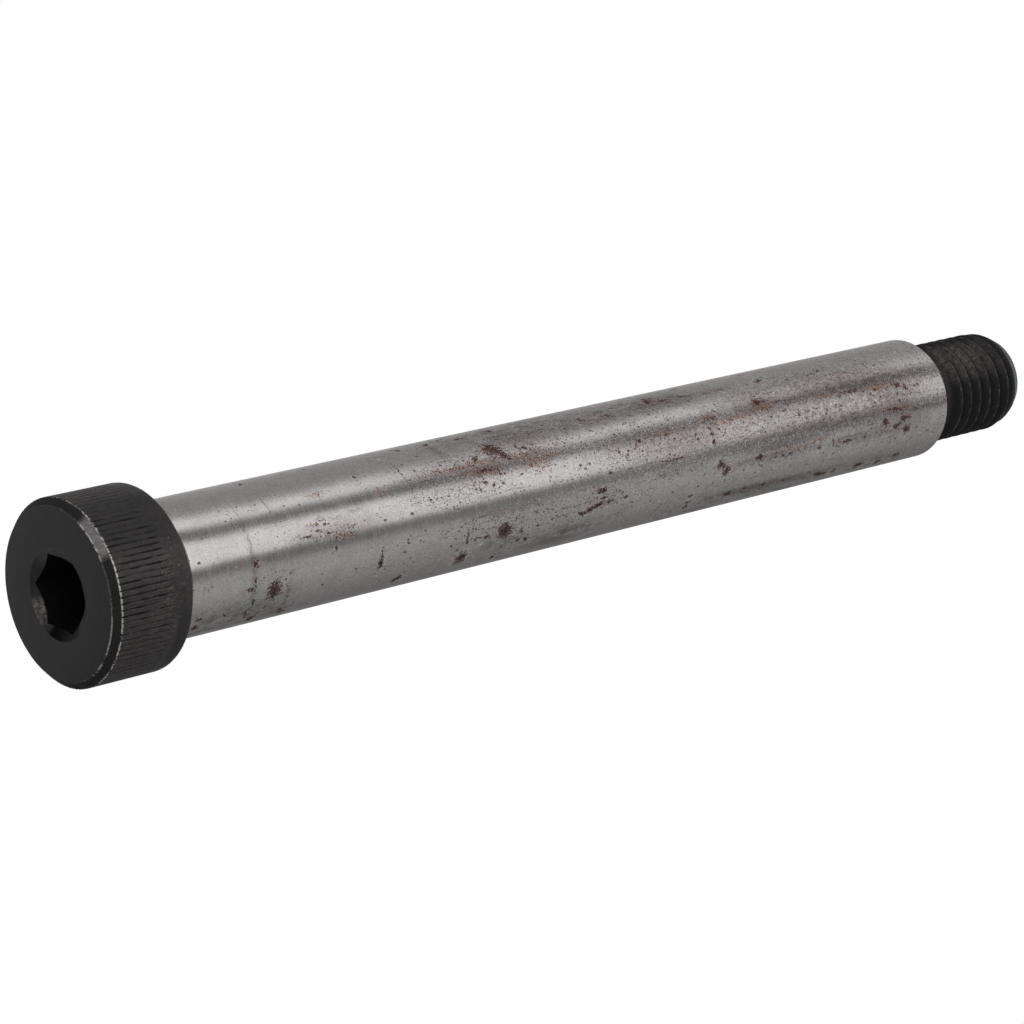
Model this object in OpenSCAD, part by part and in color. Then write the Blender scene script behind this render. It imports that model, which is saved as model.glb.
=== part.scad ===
// Socket head shoulder bolt, 3/4 x 6 inch size with a 5/8 inch coarse thread, in millimetres.
// It stands on its head: the socket face lies at z = 0, the axis is Z and the thread points up.
// The bolt is one turned piece. Its screw thread is drawn as the plain cylinder over the crests.

/* [Head] */
// Diameter over the knurl
head_d = 25.4; // [22.4:0.1:40]
// Height from the socket face to the bearing face under the head
head_h = 12.7; // [11.2:0.1:24]
// Width of the bevel round the socket face, along the radius
face_bevel_w = 0.95; // [0.3:0.05:2]
// Height of that bevel, along the axis
face_bevel_h = 1; // [0.3:0.05:2]
// Radius of the rounded edge at the back of the head
back_edge_r = 1.1; // [0.3:0.1:2]

/* [Knurl] */
// Number of straight grooves round the head
knurl_count = 94; // [60:1:120]
// Depth of a groove
knurl_depth = 0.22; // [0.08:0.01:0.4]
// Width of a groove at the surface
knurl_w = 0.5; // [0.3:0.05:0.6]
// Width of the smooth band between the knurl and the bearing face
plain_band_w = 3.1; // [2.2:0.1:6]
// Length over which a groove fades out at that band
knurl_fade = 0.9; // [0.2:0.1:2]

/* [Hexagon socket] */
// Width of the hexagon key across its flats
key_af = 9.525; // [6:0.005:12]
// Clearance between the key and each flat
key_clearance = 0.04; // [0:0.01:0.2]
// Depth of the straight hexagon
key_depth = 7.14; // [3:0.02:7.8]
// Distance from the hexagon's corners out to the rim of the lead-in cone
mouth_w = 0.65; // [0.1:0.05:2]
// Included angle of the lead-in cone
mouth_angle = 120; // [80:1:140]
// Included angle of the drill point at the bottom of the socket
point_angle = 118; // [100:1:150]

/* [Shoulder] */
// Ground diameter of the shoulder
shoulder_d = 19; // [17.2:0.1:21]
// Length from the bearing face to the end of the shoulder
shoulder_l = 152.4; // [20:0.1:300]
// Bevel at the thread end of the shoulder
end_bevel = 0.25; // [0.1:0.05:1]
// Width of the grinding relief under the head
neck_w = 2.36; // [1:0.02:5]
// Depth of that relief below the ground surface
neck_depth = 0.27; // [0.1:0.01:0.8]
// Fillet where the relief meets the head, no more than the relief's depth
neck_fillet_r = 0.25; // [0.05:0.05:0.5]

/* [Thread] */
// Diameter over the thread crests
thread_d = 15.875; // [13:0.005:16.9]
// Length from the end of the shoulder to the tip
thread_l = 20.8; // [12:0.1:60]
// Width of the relief between the shoulder and the thread
relief_w = 4.6; // [2.5:0.1:7]
// Depth of that relief below the thread crests
relief_depth = 1.33; // [0.8:0.01:2]
// Fillet where the relief meets the end of the shoulder
relief_fillet_r = 0.6; // [0.1:0.05:1]
// Width of the bevel at the tip, along the radius
tip_bevel_w = 1.15; // [0.3:0.05:3]
// Length of that bevel, along the axis
tip_bevel_l = 2.1; // [0.5:0.1:4]

/* [Hidden] */
$fn = 96;

// How far a cutter reaches past the surface that it cuts
past = 1;
// How far the core of one length runs into the length before it
root = 1;
hexagon_sides = 6;

head_r = head_d / 2;
shoulder_r = shoulder_d / 2;
neck_r = shoulder_r - neck_depth;
thread_r = thread_d / 2;
relief_r = thread_r - relief_depth;

// Stations along the axis
knurl_end = head_h - plain_band_w;
neck_end = head_h + neck_w;
shoulder_end = head_h + shoulder_l;
thread_start = shoulder_end + relief_w;
tip = shoulder_end + thread_l;

socket_flat_r = key_af / 2 + key_clearance;
socket_corner_r = socket_flat_r / cos(180 / hexagon_sides);
mouth_r = socket_corner_r + mouth_w;
mouth_slope = tan(mouth_angle / 2);
point_h = socket_flat_r / tan(point_angle / 2);

black_oxide = "#2d2c2b";
ground_steel = "#a3a09c";

// Ring that fills the inside corner between a face at height z and a core of radius r
module fillet_ring(r, z, fillet_r) {
    rotate_extrude() translate([r, z]) difference() {
        square(fillet_r);
        translate([fillet_r, fillet_r]) circle(fillet_r);
    }
}

// The head as it is turned: bevelled at the socket face and rounded at the back
module head_blank() {
    rotate_extrude() difference() {
        square([head_r, head_h]);
        polygon([[head_r - face_bevel_w, 0], [head_r, face_bevel_h], [head_r + past, 0]]);
        translate([head_r - back_edge_r, head_h - back_edge_r]) difference() {
            square(back_edge_r + past);
            circle(back_edge_r);
        }
    }
}

// Zigzag outline of the knurl: its floors lie at the groove depth, and its tips stand proud
// of the head, which trims them to lands
module knurl_outline() {
    pitch = PI * head_d / knurl_count;
    floor_r = head_r - knurl_depth;
    tip_r = head_r + knurl_depth * (pitch / knurl_w - 1);
    polygon([for (i = [0:2 * knurl_count - 1])
        (i % 2 == 0 ? floor_r : tip_r) * [cos(i * 180 / knurl_count), sin(i * 180 / knurl_count)]]);
}

// What the grooves leave: the ridges, and a core whose cone closes the grooves at the smooth band
module knurl_form() {
    translate([0, 0, -past]) linear_extrude(knurl_end + knurl_fade + past) knurl_outline();
    rotate_extrude() polygon([
        [0, knurl_end - 2 * knurl_fade],
        [head_r - 2 * knurl_depth, knurl_end - 2 * knurl_fade],
        [head_r + knurl_depth, knurl_end + knurl_fade],
        [head_r + knurl_depth, head_h + past],
        [0, head_h + past]]);
}

// Hexagon hollow for the key, with its lead-in cone and the drill point that it was broached from
module key_socket() {
    translate([0, 0, -past])
        cylinder(r = socket_corner_r, h = key_depth + past, $fn = hexagon_sides);
    translate([0, 0, key_depth]) cylinder(r1 = socket_flat_r, r2 = 0, h = point_h);
    translate([0, 0, -past])
        cylinder(r1 = mouth_r + past * mouth_slope, r2 = 0, h = mouth_r / mouth_slope + past);
}

module head() {
    color(black_oxide) difference() {
        intersection() {
            head_blank();
            knurl_form();
        }
        key_socket();
    }
}

// Ground shoulder, with the relief that lets the grinding wheel run out under the head
module shoulder() {
    color(ground_steel) {
        rotate_extrude() polygon([
            [0, head_h - root],
            [neck_r, head_h - root],
            [neck_r, neck_end - neck_depth],
            [shoulder_r, neck_end],
            [shoulder_r, shoulder_end - end_bevel],
            [shoulder_r - end_bevel, shoulder_end],
            [0, shoulder_end]]);
        fillet_ring(neck_r, head_h, min(neck_fillet_r, neck_depth));
    }
}

// Relief, thread over its crests, and the bevelled tip
module thread_end() {
    color(black_oxide) {
        rotate_extrude() polygon([
            [0, shoulder_end - root],
            [relief_r, shoulder_end - root],
            [relief_r, thread_start - relief_depth],
            [thread_r, thread_start],
            [thread_r, tip - tip_bevel_l],
            [thread_r - tip_bevel_w, tip],
            [0, tip]]);
        fillet_ring(relief_r, shoulder_end, relief_fillet_r);
    }
}

module shoulder_bolt() {
    head();
    shoulder();
    thread_end();
}

shoulder_bolt();
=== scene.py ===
import math
from functools import partial
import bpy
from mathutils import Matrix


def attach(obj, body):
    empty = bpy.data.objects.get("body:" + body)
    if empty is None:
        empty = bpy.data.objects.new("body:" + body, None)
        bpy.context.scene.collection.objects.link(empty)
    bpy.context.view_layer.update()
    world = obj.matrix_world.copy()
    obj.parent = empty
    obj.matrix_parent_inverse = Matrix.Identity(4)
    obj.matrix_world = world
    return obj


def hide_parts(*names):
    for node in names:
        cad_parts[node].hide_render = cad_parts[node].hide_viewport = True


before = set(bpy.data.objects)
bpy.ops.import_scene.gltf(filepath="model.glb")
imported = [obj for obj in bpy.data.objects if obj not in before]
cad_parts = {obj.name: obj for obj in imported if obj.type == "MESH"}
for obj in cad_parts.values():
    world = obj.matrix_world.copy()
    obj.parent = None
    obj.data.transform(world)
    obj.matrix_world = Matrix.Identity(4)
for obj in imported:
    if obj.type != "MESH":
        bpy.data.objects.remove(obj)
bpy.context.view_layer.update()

from types import SimpleNamespace as Names

import bpy
from mathutils import Matrix, Vector

perMillimetre = 0.001
mergeDistance = 1e-6      # in metres
sharpDegrees = 30         # an edge that turns by more stays sharp
shoulderRadius = 9.5
socketSizes = {
    "sides": 6,
    "flatRadius": 4.8025,
    "hexagonDepth": 7.14,
    "mouthRadius": 6.196,
    "mouthAngle": 120,
    "pointAngle": 118,
    "past": 1.0,
}


# helpers

def mm(length):
    return length * perMillimetre


def hexColour(code):
    # an sRGB hex colour turned linear, as the sockets want it
    channels = [int(code[i:i + 2], 16) / 255 for i in (1, 3, 5)]
    linear = [c / 12.92 if c <= 0.04045 else ((c + 0.055) / 1.055) ** 2.4 for c in channels]
    return (*linear, 1.0)


def addNode(tree, kind, *inputs, **settings):
    # Inputs follow the node's sockets in turn, or are one dictionary by socket name. Each is a node,
    # a socket, a list of them for a multi-input, or a plain value. The kind may end with an operation.
    kind, *operation = kind.split()
    node = tree.nodes.new(kind)
    if operation:
        settings["operation"] = operation[0]
    for name, value in settings.items():
        setattr(node, name, value)
    sockets = [s for s in node.inputs if s.enabled]
    if inputs and isinstance(inputs[0], dict):
        pairs = [(next(s for s in sockets if key in (s.name, s.identifier)), value)
                 for key, value in inputs[0].items()]
    else:
        pairs = zip(sockets, inputs)
    for socket, value in pairs:
        for source in value if isinstance(value, list) else [value]:
            if isinstance(source, bpy.types.Node):
                source = next(s for s in source.outputs if s.enabled)
            if isinstance(source, bpy.types.NodeSocket):
                tree.links.new(source, socket)
            else:
                socket.default_value = source
    return node


def combineParts(tree, *parts, by="MULTIPLY"):
    # what the parts come to, the product unless `by` says otherwise; a tuple is a smooth step of a value
    # between two limits, from 0 to 1 or from and to what follows them
    total = None
    for part in parts:
        if isinstance(part, tuple):
            part = addNode(tree, "ShaderNodeMapRange", *part, interpolation_type="SMOOTHSTEP")
        total = part if total is None else addNode(tree, "ShaderNodeMath " + by, total, part)
    return total


def toolsFor(tree):
    return partial(addNode, tree), partial(combineParts, tree)


def newTree(name, sizes):
    # a Geometry Nodes tree with one named input for each size, its inputs and its tools
    tree = bpy.data.node_groups.new(name, "GeometryNodeTree")
    for way in ("INPUT", "OUTPUT"):
        tree.interface.new_socket("Geometry", in_out=way, socket_type="NodeSocketGeometry")
    for label, value in sizes.items():
        kind = {int: "NodeSocketInt", float: "NodeSocketFloat"}.get(type(value), "NodeSocketObject")
        tree.interface.new_socket(label, in_out="INPUT", socket_type=kind)
    return tree, addNode(tree, "NodeGroupInput").outputs, *toolsFor(tree)


def endTree(tree, geometry, *materials):
    # marks the sharp edges, makes everything real and gives each region its material
    add, _ = toolsFor(tree)
    angle = add("GeometryNodeInputMeshEdgeAngle").outputs["Unsigned Angle"]
    isSharp = add("FunctionNodeCompare GREATER_THAN", angle, math.radians(sharpDegrees), data_type="FLOAT")
    smooth = add("GeometryNodeSetShadeSmooth", geometry, domain="FACE")
    split = add("GeometryNodeSetShadeSmooth", smooth, isSharp, False, domain="EDGE")
    real = add("GeometryNodeRealizeInstances", split)
    for material, selection in materials:
        real = add("GeometryNodeSetMaterial", real, selection, material)
    add("NodeGroupOutput", real)


def addObject(name, data):
    made = bpy.data.objects.new(name, data)
    bpy.context.scene.collection.objects.link(made)
    return made


def addForm(name, points, tree, sizes):
    # an object on a drawn line, shaped by a Geometry Nodes modifier
    mesh = bpy.data.meshes.new(name)
    mesh.from_pydata(points, [(i, i + 1) for i in range(len(points) - 1)], [])
    form = addObject(name, mesh)
    modifier = form.modifiers.new(name, "NODES")
    modifier.node_group = tree
    for item in tree.interface.items_tree:
        if item.in_out == "INPUT" and item.name in sizes:
            modifier[item.identifier] = sizes[item.name]
    return form


def roundedLine(corners, arcStep=18):
    # corners are (radius from the axis, height, rounding, step to the next corner), in mm; the last two
    # may be left out
    corners = [(*corner, 0, 0)[:4] for corner in corners]
    points = []
    for i, (r, z, rounding, _) in enumerate(corners):
        here = Vector((r, 0, z))
        arc = [here]
        if rounding and 0 < i < len(corners) - 1:
            before, after = ((Vector((corners[n][0], 0, corners[n][1])) - here).normalized()
                             for n in (i - 1, i + 1))
            half = before.angle(after) / 2
            centre = here + (before + after).normalized() * rounding / math.sin(half)
            first, last = ((here + way * rounding / math.tan(half) - centre).normalized()
                           for way in (before, after))
            count = max(2, math.ceil(math.degrees(math.pi - 2 * half) / arcStep))
            arc = [centre + first.slerp(last, k / count) * rounding for k in range(count + 1)]
        if points:
            run = arc[0] - points[-1]
            step = corners[i - 1][3]
            parts = max(1, round(run.length / step)) if step else 1
            points += [points[-1] + run * (k / parts) for k in range(1, parts)]
        points += arc
    return [p * perMillimetre for p in points]


# camera

camera = addObject("camera", bpy.data.cameras.new("camera"))
bpy.context.scene.camera = camera

# Fitted to the bolt's outline in the photo. The bolt stands on its head here, so the camera that sees
# it as the photo does looks up at the head, from below the floor.
cameraView = {
    "place": (45.568, -370.483, -245.373),
    "forward": (-0.085742, 0.750149, 0.655687),
    "down": (0.94918, 0.26144, -0.17520),
    "fieldDegrees": 16.96,
}
forward = Vector(cameraView["forward"]).normalized()
right = Vector(cameraView["down"]).cross(forward).normalized()
turn = Matrix((right, right.cross(forward), -forward)).transposed().to_4x4()
camera.matrix_world = Matrix.Translation(Vector(cameraView["place"]) * perMillimetre) @ turn
camera.data.angle = math.radians(cameraView["fieldDegrees"])
camera.data.clip_start = mm(10)
camera.data.clip_end = mm(20000)
print("camera placed")


# materials

def newMaterial(name):
    material = bpy.data.materials.new(name)
    material.use_nodes = True
    material.node_tree.nodes.clear()
    return material, material.node_tree, *toolsFor(material.node_tree)


def surfacePlace(tree):
    # the point on the bolt in millimetres, its distance from the axis, its way round it and its height
    add, combine = toolsFor(tree)
    place = add("ShaderNodeTexCoord").outputs["Object"]
    point = add("ShaderNodeVectorMath SCALE", place, 1 / perMillimetre)
    x, y, height = add("ShaderNodeSeparateXYZ", point).outputs
    radius = add("ShaderNodeVectorMath LENGTH", add("ShaderNodeCombineXYZ", x, y))
    return Names(point=point, radius=radius, angle=combine(y, x, by="ARCTAN2"), height=height)


def makeNoise(tree, point, patterns):
    # one noise for each pattern: grains per mm, in X, Y and Z where they are drawn out, detail, roughness
    noise = {}
    for name, (perMm, detail, roughness) in patterns.items():
        place = point
        if isinstance(perMm, tuple):
            place = addNode(tree, "ShaderNodeVectorMath MULTIPLY", point, perMm)
            perMm = 1.0
        noise[name] = addNode(tree, "ShaderNodeTexNoise", place, perMm, detail, roughness)
    return Names(**noise)


def paintLayers(tree, colour, *layers):
    # a layer is a hex colour, or a node that gives one, and the masks whose product says where it lies
    for over, *masks in layers:
        over = hexColour(over) if isinstance(over, str) else over
        colour = addNode(tree, "ShaderNodeMix", combineParts(tree, *masks), colour, over, data_type="RGBA")
    return colour


def nearestMark(tree, along, around, marks):
    # how far a place is from the nearest mark, as a share of that mark's size, with three marks to a node
    add, combine = toolsFor(tree)
    padded = marks + [marks[-1]] * (-len(marks) % 3)
    nearest = None
    for trio in (padded[i:i + 3] for i in range(0, len(padded), 3)):
        shares = []
        for axis in (0, 1):
            terms = []
            for height, degrees, halfAlong, halfRound, *slant in trio:
                turn = math.radians(sum(slant))
                cosine, sine = math.cos(turn), math.sin(turn)
                size = (halfAlong, halfRound)[axis]
                a, b = ((cosine, sine), (-sine, cosine))[axis]
                arc = math.radians(degrees) * shoulderRadius
                terms.append((a / size, b / size, -(a * height + b * arc) / size))
            alongScale, aroundScale, offset = zip(*terms)
            shifted = add("ShaderNodeVectorMath MULTIPLY_ADD", along, alongScale, offset)
            shares.append(add("ShaderNodeVectorMath MULTIPLY_ADD", around, aroundScale, shifted))
        squares = add("ShaderNodeVectorMath MULTIPLY", shares[0], shares[0])
        squares = add("ShaderNodeVectorMath MULTIPLY_ADD", shares[1], shares[1], squares)
        if nearest is not None:
            squares = add("ShaderNodeVectorMath MINIMUM", nearest, squares)
        nearest = squares
    least = combine(*add("ShaderNodeSeparateXYZ", nearest).outputs, by="MINIMUM")
    return add("ShaderNodeMath SQRT", least)


def roundSpecks(tree, place, perMm, size, ragged, often):
    # a speck in some cells of a Voronoi pattern, in as many as the share `often` says
    add, combine = toolsFor(tree)
    cells = add("ShaderNodeTexVoronoi", place, perMm)
    drawn = add("ShaderNodeSeparateXYZ", cells.outputs["Color"]).outputs
    reach = combine((drawn["Y"], 0, 1, size * 0.5, size))
    apart = add("ShaderNodeMath MULTIPLY_ADD", ragged, 0.5, cells.outputs["Distance"])
    chosen = combine(drawn["X"], often, by="LESS_THAN")
    return combine(chosen, (combine(apart, reach, by="SUBTRACT"), 0.28, 0.2), (drawn["Z"], 0, 0.5, 0.4, 1))


blackOxideLook = {
    "film": "#1e1d1e",
    "brownFilm": "#282223",
    "ridgeFilm": "#3b3735",
    "grooveFilm": "#0f0e0e",
    "bevelFilm": "#8d8a8b",
    "darkBevelFilm": "#181616",
    "threadFilm": "#1c1a1a",
    "neckFilm": "#302b29",
    "crestFilm": "#3c3938",
    "patchFilm": "#6d6866",
    "tipFilm": "#6d747c",
    "endFilm": "#3d3f42",
    "mouthFilm": "#201f1f",
    "litMouthFilm": "#565352",
    "rubbedMouthFilm": "#6a6563",
    "bareSteel": "#d6d2cb",
    "grime": "#080808",
    "scuff": 0.45,
    "roughness": 0.44,
    "gloss": 0.42,
    "rimWear": 0.19,        # how far bare steel shows from a worn rim, in mm
    "grainBump": 0.02,      # in mm
}
# the sides where the film differs, in degrees round from +X
blackOxideSides = {
    "sharpKnurl": -75,      # its grooves show best here
    "darkKnurl": -118,
    "darkBand": -28,
    "wornRim": -72,
    "wornInnerRim": -34,
    "wornBevel": -113,
    "wornMouth": 80,
    "grimyMouth": 14,
    "litMouth": -160,
    "wornThread": -117,
}
# grains per mm, detail, roughness
blackOxidePatterns = {
    "grain": (4, 3, 0.6),       # a real film's grain is too fine to show, so it is drawn 0.25 mm wide
    "cloud": (0.7, 4, 0.6),
    "blotch": (1.7, 4, 0.7),
    "scratches": ((5, 5, 1.1), 3, 0.7),
    "alongKnurl": ((2.2, 2.2, 0.8), 4, 0.7),
    "pocks": (3.4, 3, 0.8),
    "crestBreaks": (0.8, 5, 0.8),
    "smears": ((1.5, 1.5, 0.3), 4, 0.75),
    "stretches": (0.4, 2, 0.6),
    "innerRim": (1.8, 4, 0.8),
    "outerRim": (2, 4, 0.8),
    "fleck": (2.6, 3, 0.7),
    "scuff": (3.6, 3, 0.7),
}


def makeBlackOxide():
    # Black oxide on turned alloy steel, oiled: a thin dark film, near black and half matt, that is rubbed
    # through to bright steel on the rims of the head
    look = Names(**blackOxideLook)
    material, tree, add, combine = newMaterial("blackOxide")
    at = surfacePlace(tree)
    radius, height = at.radius, at.height
    noise = makeNoise(tree, at.point, blackOxidePatterns)
    # 1 on the side of the bolt at these degrees, -1 on the far side
    toward = {}
    for name, degrees in blackOxideSides.items():
        turned = combine(at.angle, math.radians(degrees), by="SUBTRACT")
        toward[name] = add("ShaderNodeMath COSINE", turned)
    toward = Names(**toward)
    mask = filmMasks(tree, radius, height, noise, toward)

    film = paintLayers(
        tree, hexColour(look.film),
        # brownish in clouds, greyer on the ridges of the knurl, darkest in its grooves
        (look.brownFilm, (noise.cloud, 0.42, 0.62)),
        (look.ridgeFilm, mask.ridges, (noise.alongKnurl, 0.3, 0.7, 0.3, 1),
         (noise.scratches, 0.35, 0.65, 0.15, 1), mask.litKnurl),
        (look.grooveFilm, (radius, 12.3, 12.4), mask.knurl, (radius, 12.66, 12.59),
         (toward.sharpKnurl, 0, 0.75, 0.3, 1), (noise.pocks, 0.38, 0.56, 0.15, 1)),
        (look.grooveFilm, (height, 9.6, 10.4), mask.head, (toward.darkBand, 0.7, 1, 0, 0.7)),
        (look.darkBevelFilm, mask.bevel),
        (look.bevelFilm, mask.bevel, mask.bevelSide, (noise.scratches, 0.25, 0.7, 0.45, 1)),
        # the socket and its mouth
        (look.grooveFilm, (radius, 6.1, 5.9), (height, 0.3, 0.6), mask.head),
        (look.mouthFilm, mask.mouth),
        (look.litMouthFilm, mask.mouth, (toward.litMouth, 0.5, 0.95, 0, 0.6)),
        (look.rubbedMouthFilm, mask.mouth, (noise.blotch, 0.36, 0.58, 0.1, 1),
         (toward.wornMouth, 0.92, 0.99)),
        # near black in the root of the thread, rubbed grey on its crests, on one side and at the tip
        (look.threadFilm, mask.thread),
        (look.neckFilm, (height, 169.4, 168.4), mask.thread),
        (look.crestFilm, mask.crest, mask.crestBreaks),
        (look.patchFilm, mask.rubSide, (height, 166, 169), (height, 187, 173),
         (noise.smears, 0.36, 0.64, 0.15, 1), (radius, 6.5, 7.5, 0.3, 1), (radius, 7.7, 7.9, 1, 0.35)),
        (look.tipFilm, (height, 183.4, 185.2, 0, 0.76)),
        (look.endFilm, (radius, 6.4, 5.9), (height, 185.6, 185.8), (mask.rings, 0.35, 0.6, 0.55, 1)))
    toned = combine((noise.grain, 0.2, 0.8, 0.72, 1.28), (noise.blotch, 0.3, 0.7, 0.82, 1.18))
    film = add("ShaderNodeVectorMath SCALE", film, toned)

    worn = wornSteel(tree, radius, height, noise, toward, mask)
    # soot-black grime lies in the low side of the mouth and mirrors nothing
    grime = combine(mask.mouth, (toward.grimyMouth, 0.76, 0.88, 0, 0.96))
    colour = paintLayers(tree, film, (look.bareSteel, worn), (look.grime, grime))

    rough = combine((noise.cloud, 0.3, 0.7, look.roughness - 0.05, look.roughness + 0.05))
    brokenCrest = combine(1, mask.crestBreaks, by="SUBTRACT")
    for place, more in (
            (mask.thread, 0.12),
            (combine(mask.bevel, combine(1, mask.bevelSide, by="SUBTRACT")), 0.3),
            (combine(mask.ridges, combine(1, mask.litKnurl, by="SUBTRACT")), 0.16),
            (combine(mask.crest, combine(mask.rubSide, brokenCrest, by="MAXIMUM")), 0.3)):
        rough = add("ShaderNodeMath MULTIPLY_ADD", place, more, rough)
    grainBump = add("ShaderNodeBump", {"Height": noise.grain, "Distance": mm(look.grainBump)})
    shader = add("ShaderNodeBsdfPrincipled", {
        "Base Color": colour, "Metallic": combine(worn, grime, by="MAXIMUM"), "Roughness": rough,
        "Specular IOR Level": look.gloss, "Normal": grainBump})
    add("ShaderNodeOutputMaterial", shader)
    return material


def filmMasks(tree, radius, height, noise, toward):
    add, combine = toolsFor(tree)
    onHead = combine((height, 20, 20.1, 1, 0))
    onKnurl = combine((height, 0.9, 1.1), onHead)
    onThread = combine((height, 165, 165.1))
    # the cone of the mouth, a little into the steel
    mouthSlope = math.tan(math.radians(socketSizes["mouthAngle"] / 2))
    mouthLevel = socketSizes["mouthRadius"] / mouthSlope
    aboveMouth = add("ShaderNodeMath MULTIPLY_ADD", radius, 1 / mouthSlope, height)
    return Names(
        head=onHead,
        knurl=onKnurl,
        ridges=combine((radius, 12.56, 12.68), onKnurl),
        litKnurl=combine((toward.darkKnurl, 0.9, 0.985, 1, 0.1)),
        bevel=combine((radius, 11.7, 11.85), (height, 1.02, 0.95)),
        bevelSide=combine((toward.wornBevel, 0.953, 0.985)),
        mouth=combine((radius, 6.3, 6.15), (aboveMouth, mouthLevel + 0.04, mouthLevel + 0.12, 1, 0)),
        thread=onThread,
        crest=combine((radius, 7.78, 7.92), onThread),
        crestBreaks=combine((noise.crestBreaks, 0.44, 0.62)),
        rubSide=combine((toward.wornThread, 0.8, 0.99)),
        # the end face shows its turning rings
        rings=add("ShaderNodeTexNoise", add("ShaderNodeCombineXYZ", radius), 2.2, 3, 0.7))


def wornSteel(tree, radius, height, noise, toward, mask):
    # bare steel along both rims of the bevel, broken up, and in specks at the ends of the grooves
    add, combine = toolsFor(tree)
    wear = blackOxideLook["rimWear"]
    section = add("ShaderNodeCombineXYZ", radius, height)
    rubbed = add("ShaderNodeMath MULTIPLY_ADD", toward.wornRim, 0.14, combine(noise.stretches, 0.3))
    innerShare = combine((mask.bevelSide, 0, 0.5), (toward.wornInnerRim, 0.75, 1, 0.15, 0.7),
                         by="MAXIMUM")
    lines = []
    for rim, breaks, lower, share in (((11.75, 0, 0), noise.innerRim, 0.7, innerShare),
                                      ((12.7, 1, 0), noise.outerRim, 0.672, 1)):
        apart = add("ShaderNodeVectorMath DISTANCE", section, rim)
        rubs = combine(rubbed, breaks, by="ADD")
        lines.append(combine((apart, wear, wear * 0.3), (rubs, lower, lower + 0.1), share))
    groove = combine((height, 6, 9.2, 0, 0.09), (height, 11.6, 9.8, 0.3, 1), mask.ridges,
                     (toward.wornRim, 0.6, 0.95))
    # a scuff of fine pale flecks lies over the ends of the grooves
    scuff = combine((height, 4.5, 7.5), (height, 10.4, 8.6), (toward.wornRim, 0.8, 0.97),
                    (noise.stretches, 0.42, 0.58, 0.25, 1), (noise.scuff, 0.5, 0.7),
                    blackOxideLook["scuff"])
    flecks = combine((combine(noise.fleck, groove, by="ADD"), 0.7, 0.84), scuff, by="MAXIMUM")
    return combine(*lines, combine(flecks, 0.26), by="MAXIMUM")


groundSteelLook = {
    "steel": "#d3cfce",
    "roughness": 0.27,
    "anisotropy": 0.6,
    "gloss": 0.22,
    "pit": "#341c1a",
    "maroonRust": "#3c1f1c",
    "flakyRust": "#5e4a42",
    "orangeRust": "#784c2a",
    "stain": "#746460",
    "haze": "#6a5e5e",
    "smudge": "#4a4644",
}
# grains per mm, detail, roughness
groundSteelPatterns = {
    "grind": ((0.3, 0.3, 5), 3, 0.6),    # real lines lie some 0.02 mm apart, drawn coarser so they show
    "grain": (3.6, 3, 0.7),
    "cloud": (0.45, 5, 0.65),
    "coarse": (1.3, 3, 0.6),
    "fine": ((4.2, 4.2, 3.15), 3, 0.8),
    "rows": ((0.8, 0.8, 0.06), 2, 0.6),
    "dust": ((5, 5, 3), 1.5, 0.6),
    "mottle": ((0.9, 0.9, 0.54), 4, 0.7),
    "slid": ((4, 4, 0.25), 2, 0.6),
    "broken": ((5, 5, 3), 2, 0.6),
    "speckTone": (0.9, 2, 0.6),
    "flaky": (2.6, 3, 0.7),
    "waves": ((0.14, 0.14, 0.07), 1, 0.6),
}
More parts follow.
